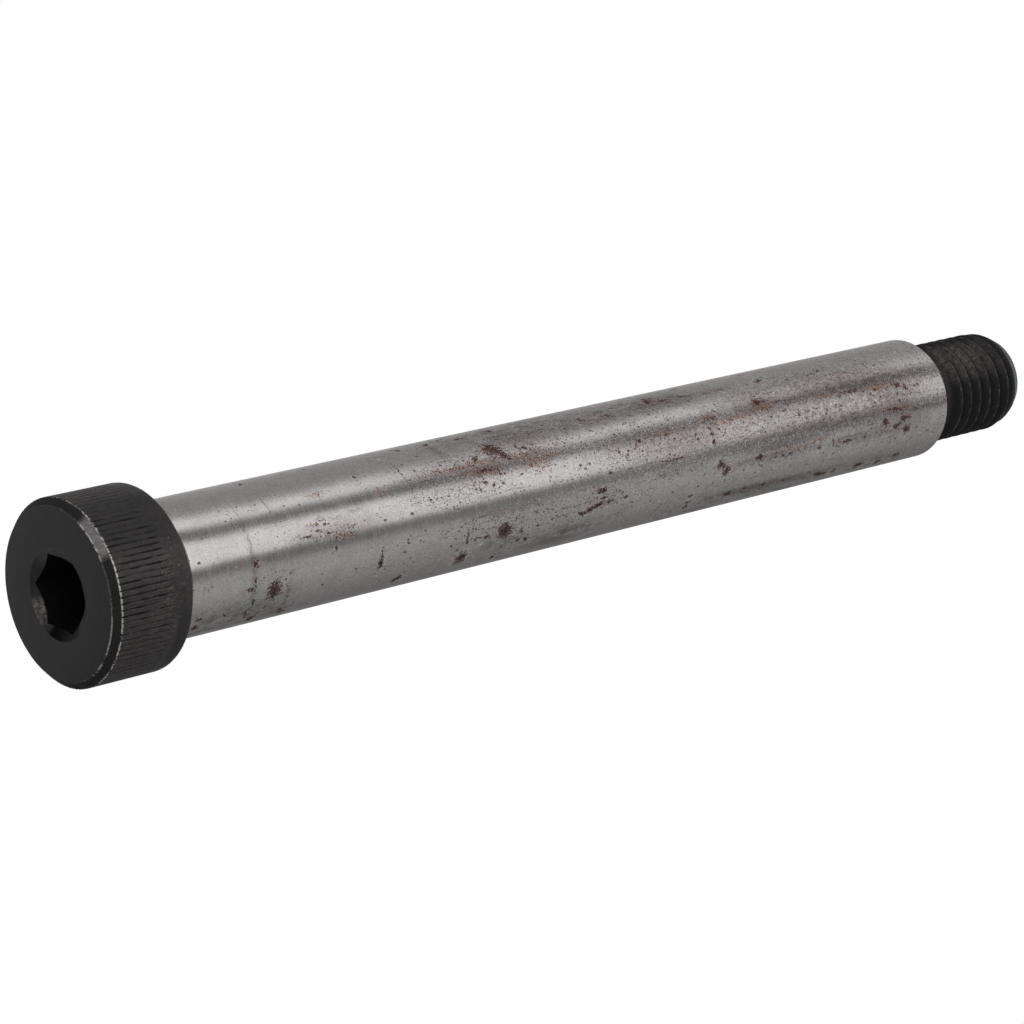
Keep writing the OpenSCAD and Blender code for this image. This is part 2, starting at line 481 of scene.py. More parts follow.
# Marks on the shoulder: height, degrees round, half lengths along and round in mm, and the slant in
# degrees of those that have one
pits = [
    (28.6, -44.8, 1.45, 1.8), (27.9, -28, 0.4, 0.3), (24.5, -50, 0.75, 0.4), (25.2, -70.5, 0.55, 0.55),
    (25.3, -36, 0.28, 0.9, -6), (24.6, -27, 0.25, 0.7, 10), (26.5, -16, 0.9, 0.5), (16.5, -32, 0.8, 0.4, 8),
    (31.2, -17, 0.3, 0.8, -15), (34.5, -82.5, 0.7, 0.22, 6), (39, -69, 0.26, 0.26),
    (37.2, -38, 0.22, 0.24), (46.4, -125.7, 0.3, 0.22), (47.1, -44.5, 0.6, 1), (47.15, -52, 0.14, 1.1),
    (51.5, -20.7, 1.2, 0.7, -35), (52.5, -43, 0.2, 0.2), (51.8, -58, 0.2, 0.22), (59.9, -45.7, 0.16, 0.4),
    (62.9, -48.5, 0.15, 1.3), (62.75, -28, 1.15, 1.4), (65.3, -47, 1.7, 0.16), (66.5, -46.6, 0.7, 0.25, 4),
    (70, -47.9, 1.5, 1.3, 10), (69.75, -17.7, 0.4, 0.4), (73.3, -43, 0.5, 0.16),
    (85.2, -46.2, 0.9, 0.35, -15), (86.6, -48.3, 0.9, 0.45, -15), (88.2, -50.8, 1, 0.4, -15),
    (88.6, -63.5, 0.9, 0.4), (90.6, -77, 0.4, 0.25), (108, -36, 0.6, 0.4, 15), (108.1, -28, 0.6, 0.3),
    (108.2, -20.7, 0.7, 0.5, -15), (116.8, -25.8, 0.9, 0.6, 15), (101.5, -28.5, 0.4, 0.2),
    (104, -28.2, 0.4, 0.22), (138.3, -57, 0.14, 1, -12), (139, -52.5, 0.2, 0.4, -30),
    (141.2, -19, 0.3, 0.8), (147, -19.5, 1.4, 0.7), (137.5, -20.7, 1.9, 0.5, 8), (155.7, -20.7, 0.8, 0.6),
    (62.9, -150.5, 0.8, 0.4, -25), (57.8, -151.5, 0.5, 0.35, 40), (68.5, -147.5, 1.2, 0.3),
    (29.9, -151, 0.3, 0.5), (25.1, -55, 0.18, 0.7), (24.9, -22, 0.25, 0.9), (26.5, -12, 0.9, 0.5, -15),
    (32, -13, 0.8, 0.5, -15), (16.6, -22, 0.6, 0.7), (20.8, -30, 0.3, 0.5), (76.5, -45, 0.5, 0.2),
    (79.2, -48, 0.6, 0.2), (82, -47.5, 0.3, 0.2), (73.2, -34, 0.5, 0.3), (74.7, -33.5, 0.6, 0.3),
    (69.7, -17, 0.4, 0.5), (90.2, -52, 1, 0.22), (93.6, -52.5, 0.5, 0.25, -10), (89, -57, 0.8, 0.2),
    (121.8, -60, 0.5, 0.4), (125, -56, 0.3, 0.2), (127, -56, 0.4, 0.2), (128.6, -56, 0.5, 0.2),
    (135, -55.5, 0.4, 0.3), (141.2, -55.5, 1.4, 0.2), (120.5, -27, 0.5, 0.2), (124.5, -27, 0.6, 0.3),
    (129, -25, 0.5, 0.25), (134.5, -28, 0.5, 0.3), (139, -19, 0.9, 0.4), (60.2, -112, 0.3, 0.2),
    (75.6, -121, 0.35, 0.3), (67.8, -104.2, 1.5, 0.28), (74.7, -150, 0.5, 0.4), (145.5, -55, 0.6, 0.16),
    (53.9, -122, 0.07, 2.6), (54.2, -104, 0.06, 1.2), (41.5, 118, 1, 0.8), (46, 124, 0.5, 0.3),
    (71, 28, 1.3, 0.5, 15), (84.3, 95, 0.6, 0.5), (110.2, 60, 0.9, 1.1), (127, 88, 0.5, 0.4),
    (133.5, 150, 1.2, 0.4, -10), (22.5, 80, 0.5, 0.7), (157, 62, 0.7, 0.6), (33, 160, 0.8, 0.4, 10),
    (91, 168, 0.4, 0.4),
]
maroonMarks = [
    (71.2, -124, 1.7, 1.35), (72.4, -116, 1.3, 0.75, 45), (78.7, -118.7, 0.32, 0.3), (67.4, -117, 0.7, 0.2),
    (88.7, -51.5, 0.6, 0.35), (90.5, -136, 0.6, 0.5, -35), (105, -141, 0.9, 0.7),
    (107.5, -137.5, 1.2, 0.25), (113.4, -61.4, 1, 0.75, 10), (114.5, -54, 0.85, 0.8),
    (112.4, -91, 0.25, 0.4), (112.2, -83, 0.3, 0.35), (113.6, -105, 0.8, 0.3),
    (128, -135.3, 1, 0.5, -15), (140.5, -131, 0.5, 0.4), (150.2, -64.5, 0.9, 0.75),
    (152.9, -58.4, 1.2, 0.42, -8), (154.9, -64.5, 1.4, 0.5), (155.3, -52.5, 0.85, 0.75),
    (152, -16, 0.8, 0.7, 20), (124, -110.5, 1.2, 0.6), (65.2, -96, 0.3, 0.2), (67, -93, 0.4, 0.2),
    (68.5, -90, 0.3, 0.2), (66, -88, 0.25, 0.2), (77, -117, 0.5, 0.3), (70.2, -101.5, 0.3, 0.3),
    (104, -76, 3.5, 0.16, 4), (151.5, -75, 2.5, 0.2), (112.4, -96, 0.25, 0.3), (123.6, -109, 0.9, 0.5),
    (128.5, -107, 0.8, 0.2), (98, -143, 0.6, 0.3), (95.7, -133, 0.5, 0.4), (105.2, -146, 0.4, 0.6),
    (112, -137, 1.5, 0.2), (89, -64, 1, 0.3), (143.6, -101, 1.6, 0.25), (154.5, -97, 0.8, 0.4),
    (156, -93, 0.5, 0.5), (153, -74, 1.8, 0.2), (97.8, -100, 0.5, 0.3), (145, -101, 0.6, 0.3),
    (121.3, -60, 0.9, 0.25), (36.4, -86, 0.4, 0.12), (38.2, -82, 0.4, 0.12), (42.5, -84, 0.4, 0.12),
    (97.5, 127, 0.8, 0.5), (99.2, 133, 0.5, 0.4), (139.5, 40, 1.1, 0.6, 20), (118.5, 154, 0.9, 0.8),
    (60.2, 60, 1.2, 0.5, -15), (150.5, 110, 0.6, 0.5),
]
orangeMarks = [
    (63.5, -111.8, 5.8, 0.3), (66.5, -112.3, 3.4, 0.36), (67.9, -104, 2.6, 0.7), (77.6, -101, 1.5, 1, 20),
    (77, -111, 3, 0.45), (48.5, -106, 0.7, 0.4), (38.6, -117, 1.2, 0.4), (41, -76.5, 1.3, 0.3, 6),
    (36.7, -92.2, 0.9, 0.2), (104, -100, 1.6, 0.3), (150.2, -99, 1.5, 0.5), (86.7, -48.5, 2.2, 0.3, -13),
    (138, -102, 1.4, 0.3), (79.5, -104, 2.4, 0.3), (124.5, -104, 1.8, 0.5), (135, -63, 1.2, 0.3),
    (129, -60, 3, 0.28), (153, -75, 2.5, 0.3), (117, -99, 3, 0.5), (112.5, -107, 1.2, 0.5),
]
stains = [
    (66, -110, 12, 1.8), (62.7, -140, 0.7, 2.2, -8), (77, -126, 6, 2.4), (91, -128, 7, 1.3),
    (107, -138, 6, 1.3), (118, -135, 3.5, 0.5), (124, -108, 5, 1.6), (100, -99, 9, 1),
    (153, -86, 3.6, 2.6), (136, -78, 20, 0.9), (128, -66, 7, 0.6), (81.5, -19, 3.6, 0.7), (40, -83, 7, 1.3),
    (24.9, -60, 0.5, 4.5), (155, -60, 5, 1.8), (129, -24, 10, 0.8), (147, -100, 7, 1),
    (113, -92, 2, 2.6), (25, -58, 0.4, 2), (72, -66, 7, 0.5), (52, 62, 3, 1.6, 10), (97, 128, 7, 1.2),
    (138, 40, 5, 1.4), (118, 155, 4, 2.2), (150, -107, 13, 1.5), (146, -112, 14, 1.6), (158, -70, 7, 0.5),
    (35.4, -91, 0.9, 0.22), (37.2, -95, 1, 0.2), (38.4, -89, 0.9, 0.22), (39.8, -93, 1.2, 0.24),
    (41.4, -87.5, 1, 0.22), (36.4, -86, 0.8, 0.22), (43.4, -95, 1.2, 0.22), (34.2, -84, 0.8, 0.2),
    (108, -90, 9, 2), (152, -90, 3, 3), (80, -20, 4, 0.8), (133, -106, 14, 0.6),
]
smudges = [
    (20, -17, 6, 1.2), (30.5, -18, 4, 1.4), (31.2, -38, 0.35, 4), (24.8, -98, 0.12, 4),
    (30, -112, 0.12, 3), (58.2, -96, 0.12, 1.4), (62.2, -82, 0.12, 1.2), (143, -113, 0.4, 1.4),
    (74, -36, 1.4, 0.3), (66, -165, 3, 1), (112, -7, 4, 0.8, 20), (130, -7, 5, 0.8, 20),
    (19, -30, 3.5, 1.6, 20), (28, -16, 4, 1.6), (63, -168, 1.4, 0.8), (70, -146, 3, 0.6),
    (82, -146, 4, 0.8), (87, -140, 2, 0.8), (94, -142, 4, 0.6), (110, -138, 8, 0.5), (104, -8, 1.2, 0.7),
    (128, -8, 1.2, 0.6), (133, -8, 1.5, 0.6), (122, -27, 6, 0.6), (33, -83, 0.9, 0.5, -10),
    (147, -20, 3, 1.4), (137, -21, 4, 1), (70, -38, 4, 1.4), (78, -148, 16, 2.6),
    (102, -141, 12, 1.8), (24, -24, 7, 2.8), (125, -24, 16, 1.2), (150, -108, 13, 0.9),
    (157, -71.5, 7, 0.35), (152, -18, 5, 1.8), (84, -30, 8, 1.6), (44, 120, 9, 2.4), (126, 70, 12, 2.6),
    (74, 30, 10, 1.6, 10), (150, 135, 6, 2.4),
]
# where specks lie thickest
crowded = [
    (70, -112, 14, 2.6), (62, -92, 9, 1.8), (72, -55, 12, 2), (100, -96, 14, 3), (125, -57, 12, 0.9),
    (140, -88, 16, 3.6), (145, -56, 8, 1), (88, -57, 8, 1.8), (39, -80, 3.5, 1), (80, -130, 10, 2.4),
    (104, -132, 12, 1.6), (122, -27, 10, 0.8), (132, -92, 16, 3.2), (152, -92, 12, 3.4),
    (134, -118, 20, 2.4), (126, -67, 7, 0.6), (104, -64, 6, 0.8), (96, 130, 12, 2.4), (140, 42, 10, 2.6),
    (62, 62, 9, 2.2),
]


def makeGroundSteel():
    # Alloy steel ground between wheels: bright metal whose fine marks run round the shaft, so lights draw
    # long bands on it. It was stored bare and has rusted in specks.
    look = Names(**groundSteelLook)
    material, tree, add, combine = newMaterial("groundSteel")
    at = surfacePlace(tree)
    noise = makeNoise(tree, at.point, groundSteelPatterns)
    masks = markMasks(tree, at, noise)

    # loose specks of three sizes, in rows along the shaft and thicker towards the thread
    often = combine((at.height, 30, 110, -0.26, -0.02))
    halo = combine(masks["pitsHalo"], masks["maroonHalo"], by="MAXIMUM")
    for crowding, more in ((masks["crowd"], 0.55), (noise.rows, 0.6), (halo, 0.25)):
        often = add("ShaderNodeMath MULTIPLY_ADD", crowding, more, often)
    longish = add("ShaderNodeVectorMath MULTIPLY", at.point, (1, 1, 0.7))
    specks = [roundSpecks(tree, longish, perMm, size, noise.fine, combine(often, share))
              for perMm, size, share in ((1.5, 0.36, 0.45), (2.4, 0.42, 0.7), (4.2, 0.44, 1))]
    # and dust-fine rust where they crowd
    dust = combine((noise.dust, 0.52, 0.66), (often, 0.1, 0.7, 0, 0.66))
    speckShare = combine(combine(*specks, dust, by="MAXIMUM"), 0.84)

    # colour, from the steel up to the pits
    tone = combine((noise.grind, 0.25, 0.75, 0.93, 1.05), (noise.grain, 0.25, 0.75, 0.83, 1.13),
                   (noise.cloud, 0.3, 0.7, 0.92, 1.05))
    steel = add("ShaderNodeVectorMath SCALE", hexColour(look.steel)[:3], tone)
    smudged = combine(masks["smudges"], (noise.mottle, 0.42, 0.6, 0.06, 0.55))
    # fine scratches along the shaft, from what slid over it
    slid = combine((noise.slid, 0.58, 0.72), (often, 0, 0.5, 0.12, 0.5))
    orange = combine((combine(masks["orange"], (noise.broken, 0.42, 0.56)), 0.2, 0.45, 0, 0.9))
    maroon = combine(masks["maroon"], 0.96)
    pitted = combine(masks["pits"], 0.97)
    flaky = (look.flakyRust, (noise.flaky, 0.5, 0.66, 0, 0.8))
    maroonRust = hexColour(look.maroonRust)
    pitRust = hexColour(look.pit)
    colour = paintLayers(
        tree, steel,
        (look.smudge, combine(smudged, slid, by="MAXIMUM")),
        # a thin reddish haze lies where the specks crowd
        (look.haze, masks["crowd"], (noise.coarse, 0.32, 0.65, 0.25, 1),
         (at.height, 50, 150, 0.12, 0.55)),
        (look.stain, masks["stains"], 0.42),
        (look.orangeRust, orange),
        (paintLayers(tree, pitRust, (look.maroonRust, (noise.speckTone, 0.42, 0.58))), speckShare),
        (paintLayers(tree, maroonRust, flaky), maroon),
        (paintLayers(tree, pitRust, flaky), pitted))

    # rust isn't bright metal, and it is rough
    rust = combine(pitted, maroon, speckShare, orange, by="MAXIMUM")
    smooth = combine((noise.grind, 0.25, 0.75, look.roughness - 0.03, look.roughness + 0.04))
    rough = add("ShaderNodeMix", rust, smooth, 0.8, data_type="FLOAT")
    # the bumps, with their heights in mm
    rusty = combine((rust, 0.35, 0.9))
    normal = {}
    for shape, strength, bumpHeight in ((noise.waves, 1, 0.09), (noise.grain, 1, 0.002),
                                        (noise.grind, 1, 0.002), (noise.fine, rusty, 0.08)):
        bump = {"Height": shape, "Strength": strength, "Distance": mm(bumpHeight)}
        normal = {"Normal": add("ShaderNodeBump", bump | normal)}
    shader = add("ShaderNodeBsdfPrincipled", {
        "Base Color": colour, "Metallic": combine((rust, 0, 0.45, 1, 0)), "Roughness": rough,
        "Specular IOR Level": look.gloss, "Anisotropic": look.anisotropy,
        "Tangent": add("ShaderNodeCombineXYZ", {"Z": 1})} | normal)
    add("ShaderNodeOutputMaterial", shader)
    return material


def markMasks(tree, at, noise):
    # placed marks have ragged edges and holes, from coarse and fine noise
    add, combine = toolsFor(tree)
    unrolled = add("ShaderNodeCombineXYZ", at.height, combine(at.angle, shoulderRadius))
    shift = add("ShaderNodeVectorMath SUBTRACT", noise.coarse.outputs["Color"], (0.5, 0.5, 0.5))
    warped = add("ShaderNodeVectorMath MULTIPLY_ADD", shift, (1.3, 1.3, 0), unrolled)
    moved = add("ShaderNodeSeparateXYZ", warped).outputs
    along, around = (add("ShaderNodeCombineXYZ", *[moved[axis]] * 3) for axis in "XY")
    masks = {}
    for name, marks, swing, soft in (("pits", pits, 3.6, 0.3), ("maroon", maroonMarks, 4, 0.35),
                                     ("orange", orangeMarks, 10, 0.7), ("stains", stains, 3.5, 0.9),
                                     ("smudges", smudges, 2.2, 0.8), ("crowd", crowded, 0.6, 0.7)):
        nearest = nearestMark(tree, along, around, marks)
        ragged = add("ShaderNodeMath MULTIPLY_ADD", noise.fine, swing, nearest)
        edge = 0.95 + swing / 2
        masks[name] = combine((ragged, edge + soft, edge - soft))
        if name in ("pits", "maroon"):
            # fine specks crowd round a pit
            masks[name + "Halo"] = combine((ragged, edge + 1.6, edge))
    return masks


blackOxide = makeBlackOxide()
groundSteel = makeGroundSteel()
print("materials made")


# grids that go round the axis

def turnedGrid(tree, size, turns=None):
    # a grid whose columns go round the axis and whose rows go along the drawn line
    add, combine = toolsFor(tree)
    line, segments = size["Geometry"], size["Segments"]
    lineCount = add("GeometryNodeAttributeDomainSize", line, component="MESH").outputs["Point Count"]
    rowCount = lineCount
    if turns is not None:
        rowCount = add("FunctionNodeIntegerMath MULTIPLY", lineCount, turns)
    columns = add("FunctionNodeIntegerMath ADD", segments, 1)
    mesh = add("GeometryNodeMeshGrid", {"Vertices X": columns, "Vertices Y": rowCount})
    index = add("GeometryNodeInputIndex")
    row = add("FunctionNodeIntegerMath MODULO", index, rowCount)
    column = add("FunctionNodeIntegerMath DIVIDE_FLOOR", index, rowCount)
    stop = add("FunctionNodeIntegerMath MODULO", row, lineCount)
    sample = add("GeometryNodeSampleIndex", line, add("GeometryNodeInputPosition"), stop,
                 data_type="FLOAT_VECTOR", domain="POINT")
    section = add("ShaderNodeSeparateXYZ", sample).outputs
    share = combine(column, segments, by="DIVIDE")
    angle = combine(share, 2 * math.pi)
    cosine, sine = (add("ShaderNodeMath " + way, angle) for way in ("COSINE", "SINE"))
    return Names(mesh=mesh, row=row, rowCount=rowCount, lineCount=lineCount, share=share,
                 cosine=cosine, sine=sine, radius=section["X"], height=section["Z"])


def roundTheAxis(tree, grid, radius, height):
    # puts every grid point at its radius, angle and height, and closes the seam and the poles
    add, combine = toolsFor(tree)
    place = add("ShaderNodeCombineXYZ", combine(grid.cosine, radius), combine(grid.sine, radius), height)
    placed = add("GeometryNodeSetPosition", {"Geometry": grid.mesh, "Position": place})
    return add("GeometryNodeMergeByDistance", {"Geometry": placed, "Distance": mergeDistance})


# head

headSizes = {
    "radius": 12.7,
    "height": 12.7,
    "bevelWidth": 0.95,
    "bevelHeight": 1.0,
    "rimRounding": 0.1,
    "backRounding": 1.1,
    "grooves": 94,
    "stepsPerGroove": 10,
    "grooveDepth": 0.13,
    "grooveWidth": 0.36,
    "grooveEnd": 9.6,
    "grooveFade": 0.9,
    "unevenness": 0.85,
    "seed": 7.0,
}


def makeHeadTree(sizes):
    tree, size, add, combine = newTree("knurledHead", sizes)
    grid = turnedGrid(tree, size)
    # how far a point is from the middle of its groove, in groove pitches
    pitches = combine(grid.share, size["Grooves"])
    phase = add("ShaderNodeMath FRACT", combine(pitches, 0.5, by="ADD"))
    distance = add("ShaderNodeMath ABSOLUTE", combine(phase, 0.5, by="SUBTRACT"))
    # rolled grooves are deeper in some places than in others
    onCircle = add("ShaderNodeCombineXYZ", grid.cosine, grid.sine, grid.height)
    stretched = add("ShaderNodeVectorMath MULTIPLY", onCircle, (24, 24, 650))
    noise = add("ShaderNodeTexNoise", {"Vector": stretched, "W": size["Seed"], "Scale": 1.0, "Detail": 3.0},
                noise_dimensions="4D")
    swing = add("ShaderNodeMapRange", noise, 0.35, 0.65, -1.0, 1.0)
    change = add("ShaderNodeMath MULTIPLY_ADD", swing, size["Unevenness"], 1.0)
    depth = combine(change, size["Groove Depth"])
    inGroove = add("ShaderNodeMapRange", distance, 0.0, size["Groove Share"], 1.0, 0.0)
    grooved = combine(size["Radius"], combine(inGroove, depth), by="SUBTRACT")
    # the grooves run out on a cone at the smooth band
    toEnd = combine(grid.height, size["Groove End"], by="SUBTRACT")
    slope = combine(size["Groove Depth"], size["Groove Fade"], by="DIVIDE")
    runOut = add("ShaderNodeMath MULTIPLY_ADD", toEnd, slope, size["Radius"])
    knurled = combine(grooved, runOut, by="MAXIMUM")
    blank = roundTheAxis(tree, grid, combine(grid.radius, knurled, by="MINIMUM"), grid.height)
    # the socket: hexagon, drill point and lead-in cone, each lifted to its height
    past = size["Past"]
    hexagonLength = combine(size["Hexagon Depth"], past, by="ADD")
    hexagonMiddle = combine(combine(size["Hexagon Depth"], past, by="SUBTRACT"), 0.5)
    cutters = []
    for kind, corners, base, radius, depth, lift in (
            ("Cylinder", socketSizes["sides"], "Radius", size["Corner Radius"], hexagonLength, hexagonMiddle),
            ("Cone", 96, "Radius Bottom", size["Point Radius"], size["Point Length"], size["Point Start"]),
            ("Cone", 192, "Radius Bottom", size["Mouth Radius"], size["Mouth Length"], combine(past, -1.0))):
        place = add("ShaderNodeCombineXYZ", {"Z": lift})
        form = add("GeometryNodeMesh" + kind, {"Vertices": corners, base: radius, "Depth": depth})
        cutters.append(add("GeometryNodeTransform", {"Geometry": form, "Translation": place}))
    socket = add("GeometryNodeMeshBoolean UNION", {"Mesh 2": cutters}, solver="MANIFOLD")
    head = add("GeometryNodeMeshBoolean DIFFERENCE", {"Mesh 1": blank, "Mesh 2": [socket]}, solver="MANIFOLD")
    endTree(tree, head, (blackOxide, True))
    return tree


def makeHead():
    s, k = Names(**headSizes), Names(**socketSizes)
    mouthSlope = math.tan(math.radians(k.mouthAngle / 2))
    mouthBase = k.mouthRadius + k.past * mouthSlope
    pointOverlap = 0.01
    pointRadius = k.flatRadius - pointOverlap
    section = roundedLine([
        (0, 0, 0, 6),
        (s.radius - s.bevelWidth, 0, s.rimRounding, 0.35),
        (s.radius, s.bevelHeight, s.rimRounding, 0.7),
        (s.radius, s.grooveEnd - s.grooveFade, 0, 0.15),
        (s.radius, s.grooveEnd, 0, 0.8),
        (s.radius, s.height, s.backRounding, 3),
        (0, s.height)])
    sizes = {
        "Segments": s.grooves * s.stepsPerGroove,
        "Grooves": s.grooves,
        "Radius": mm(s.radius),
        "Groove Depth": mm(s.grooveDepth),
        "Groove Share": s.grooveWidth * s.grooves / (4 * math.pi * s.radius),
        "Groove End": mm(s.grooveEnd),
        "Groove Fade": mm(s.grooveFade),
        "Unevenness": s.unevenness,
        "Seed": s.seed,
        "Past": mm(k.past),
        "Corner Radius": mm(k.flatRadius / math.cos(math.pi / k.sides)),
        "Hexagon Depth": mm(k.hexagonDepth),
        "Point Start": mm(k.hexagonDepth - pointOverlap),
        "Point Radius": mm(pointRadius),
        "Point Length": mm(pointRadius / math.tan(math.radians(k.pointAngle / 2))),
        "Mouth Radius": mm(mouthBase),
        "Mouth Length": mm(mouthBase / mouthSlope),
    }
    return addForm("headForm", section, makeHeadTree(sizes), sizes)


headForm = makeHead()
print("head made")


# shoulder

shoulderSizes = {
    "radius": shoulderRadius,
    "start": 12.7,
    "end": 165.1,
    "root": 1.0,
    "neckRadius": 9.23,
    "neckWidth": 2.0,        # a little short of the usual 2.36, because the photo shows none of it
    "neckFillet": 0.25,
    "endBevel": 0.25,
    "edgeRounding": 0.06,
    "reliefRounding": 0.1,
    "segments": 192,
    "rowStep": 4.0,
}


def makeShoulder():
    s = Names(**shoulderSizes)
    start, neck = s.start, s.neckRadius
    flare = neck + s.neckFillet
    far, near = 0.17, 0.03      # how far the points on the fillet's arc lie from its two ends
    section = roundedLine([
        (0, start - s.root),
        (flare, start - s.root),
        (flare, start),
        (flare - far, start + near),
        (neck + near, start + far),
        (neck, start + s.neckFillet),
        (neck, start + s.neckWidth + neck - s.radius, s.reliefRounding),
        (s.radius, start + s.neckWidth, s.edgeRounding, s.rowStep),
        (s.radius, s.end - s.endBevel, s.edgeRounding),
        (s.radius - s.endBevel, s.end, s.edgeRounding),
        (0, s.end)])
    sizes = {"Segments": s.segments}
    tree, size, *_ = newTree("turnedShoulder", sizes)
    grid = turnedGrid(tree, size)
    turned = roundTheAxis(tree, grid, grid.radius, grid.height)
    endTree(tree, turned, (groundSteel, True))
    return addForm("shoulderForm", section, tree, sizes)


shoulderForm = makeShoulder()
print("shoulder made")


# thread

threadSizes = {
    "crestRadius": 7.9375,
    "depth": 1.315,
    "pitch": 25.4 / 11,
    "crestShare": 0.125,     # width of the flat on a crest, as a share of the pitch
    "flankAngle": 60,
    "crestRounding": 0.08,
    "rootRounding": 0.2,
    "phase": -0.06,
    "start": 165.1,
    "root": 1.0,
    "length": 20.8,
    "reliefDepth": 1.33,
    "reliefWidth": 4.6,
    "reliefFillet": 0.6,
    "tipBevelWidth": 1.25,
    "tipBevelLength": 3.0,
    "tipBevelCurve": 1.35,    # 1 is a straight bevel, more bends it into a dome
    "tipRounding": 0.24,
    "segments": 120,
}


def makeThreadTree(sizes):
    tree, size, add, combine = newTree("cutThread", sizes)
    grid = turnedGrid(tree, size, size["Turns"])
    # every row climbs by one pitch in a turn, so the seam joins each row to the one a turn on
    turn = add("FunctionNodeIntegerMath DIVIDE_FLOOR", grid.row, grid.lineCount)
    turns = combine(turn, grid.share, by="ADD")
    climbed = add("ShaderNodeMath MULTIPLY_ADD", turns, size["Pitch"], grid.height)
    height = add("ShaderNodeClamp", combine(climbed, size["Base"], by="ADD"), size["Start"], size["Tip"])
    # bevel at the tip, rounded into its end face
    toTip = add("ShaderNodeMapRange", height, size["Bevel Start"], size["Tip"])
    bevelDrop = combine(combine(toTip, size["Bevel Curve"], by="POWER"), size["Bevel Width"])
    roundStart = combine(size["Tip"], size["Tip Rounding"], by="SUBTRACT")
    roundShare = add("ShaderNodeMapRange", height, roundStart, size["Tip"])
    roundDrop = combine(roundShare, roundShare, size["Tip Rounding"])
    tipLimit = combine(size["Crest Radius"], bevelDrop, roundDrop, by="SUBTRACT")
    # relief and its fillet against the shoulder
    rise = combine(combine(height, size["Relief End"], by="SUBTRACT"), 0.0, by="MAXIMUM")
    reliefLimit = combine(size["Relief Radius"], rise, by="ADD")
    filletEnd = combine(size["Shoulder End"], size["Fillet"], by="ADD")
    intoFillet = add("ShaderNodeMapRange", height, filletEnd, size["Shoulder End"])
    left = combine(1.0, combine(intoFillet, intoFillet), by="SUBTRACT")
    filletShare = combine(1.0, add("ShaderNodeMath SQRT", left), by="SUBTRACT")
    filletRise = add("ShaderNodeMath MULTIPLY_ADD", filletShare, size["Fillet"], size["Relief Radius"])
    threaded = combine(tipLimit, reliefLimit, grid.radius, by="MINIMUM")
    body = combine(threaded, filletRise, by="MAXIMUM")
    # the first and the last row close the ends on the axis
    lastRow = add("FunctionNodeIntegerMath SUBTRACT", grid.rowCount, 1)
    afterFirst = add("FunctionNodeCompare GREATER_THAN", grid.row, 0, data_type="INT")
    beforeLast = add("FunctionNodeCompare LESS_THAN", grid.row, lastRow, data_type="INT")
    between = add("FunctionNodeBooleanMath AND", afterFirst, beforeLast)
    cut = roundTheAxis(tree, grid, combine(body, between), height)
    endTree(tree, cut, (blackOxide, True))
    return tree


def makeThread():
    s = Names(**threadSizes)
    p = s.pitch
    crest, rootR = s.crestRadius, s.crestRadius - s.depth
    crestHalf = s.crestShare * p / 2
    flank = s.depth / math.tan(math.radians(s.flankAngle))
    fullLine = roundedLine([
        (crest, 0),
        (crest, crestHalf, s.crestRounding, 0.25),
        (rootR, crestHalf + flank, s.rootRounding),
        (rootR, p - crestHalf - flank, s.rootRounding, 0.25),
        (crest, p - crestHalf, s.crestRounding),
        (crest, p)], arcStep=30)
    profile = fullLine[:-1]     # the next turn brings the last point
    start = s.start - s.root
    tip = s.start + s.length
    sizes = {
        "Segments": s.segments,
        "Turns": math.ceil((tip - start) / p) + 2,
        "Pitch": mm(p),
        "Base": mm(start - (2 - s.phase) * p),
        "Start": mm(start),
        "Tip": mm(tip),
        "Crest Radius": mm(crest),
        "Bevel Start": mm(tip - s.tipBevelLength),
        "Bevel Width": mm(s.tipBevelWidth),
        "Bevel Curve": s.tipBevelCurve,
        "Tip Rounding": mm(s.tipRounding),
        "Relief Radius": mm(crest - s.reliefDepth),
        "Relief End": mm(s.start + s.reliefWidth - s.reliefDepth),
        "Shoulder End": mm(s.start),
        "Fillet": mm(s.reliefFillet),
    }
    return addForm("threadForm", profile, makeThreadTree(sizes), sizes)


threadForm = makeThread()
print("thread made")


# the bolt in one piece

def uniteForms():
    sizes = {"Head": headForm, "Shoulder": shoulderForm, "Thread": threadForm}
    tree, size, add, _ = newTree("boltInOne", sizes)
    parts = [add("GeometryNodeObjectInfo", size[name]).outputs["Geometry"] for name in sizes]
    union = add("GeometryNodeMeshBoolean UNION", {"Mesh 2": parts}, solver="MANIFOLD")
    merged = add("GeometryNodeMergeByDistance", {"Geometry": union, "Distance": mergeDistance})
    # bare steel where the grinding wheel ran, black everywhere else
    height = add("ShaderNodeSeparateXYZ", add("GeometryNodeInputPosition")).outputs["Z"]
    groundFrom = shoulderSizes["start"] + shoulderSizes["neckWidth"] - 0.3
    inside = [add("FunctionNodeCompare " + side, height, mm(limit), data_type="FLOAT")
              for limit, side in ((groundFrom, "GREATER_THAN"), (shoulderSizes["end"] - 0.01, "LESS_THAN"))]
    ground = add("FunctionNodeBooleanMath AND", *inside)
    endTree(tree, merged, (blackOxide, True), (groundSteel, ground))
    blank = addForm("boltForm", [], tree, sizes)
    bpy.context.view_layer.update()
    shaped = blank.evaluated_get(bpy.context.evaluated_depsgraph_get())
    mesh = bpy.data.meshes.new_from_object(shaped)
    mesh.name = "shoulderBolt"
    bolt = addObject("shoulderBolt", mesh)
    for form in (blank, headForm, shoulderForm, threadForm):
        bpy.data.objects.remove(form)
    return bolt


bolt = uniteForms()
triangles = sum(len(face.vertices) - 2 for face in bolt.data.polygons)
print("bolt united:", len(bolt.data.vertices), "points,", triangles, "triangles")
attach(bolt, "root")
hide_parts("shoulder_bolt")


# floor, light and background

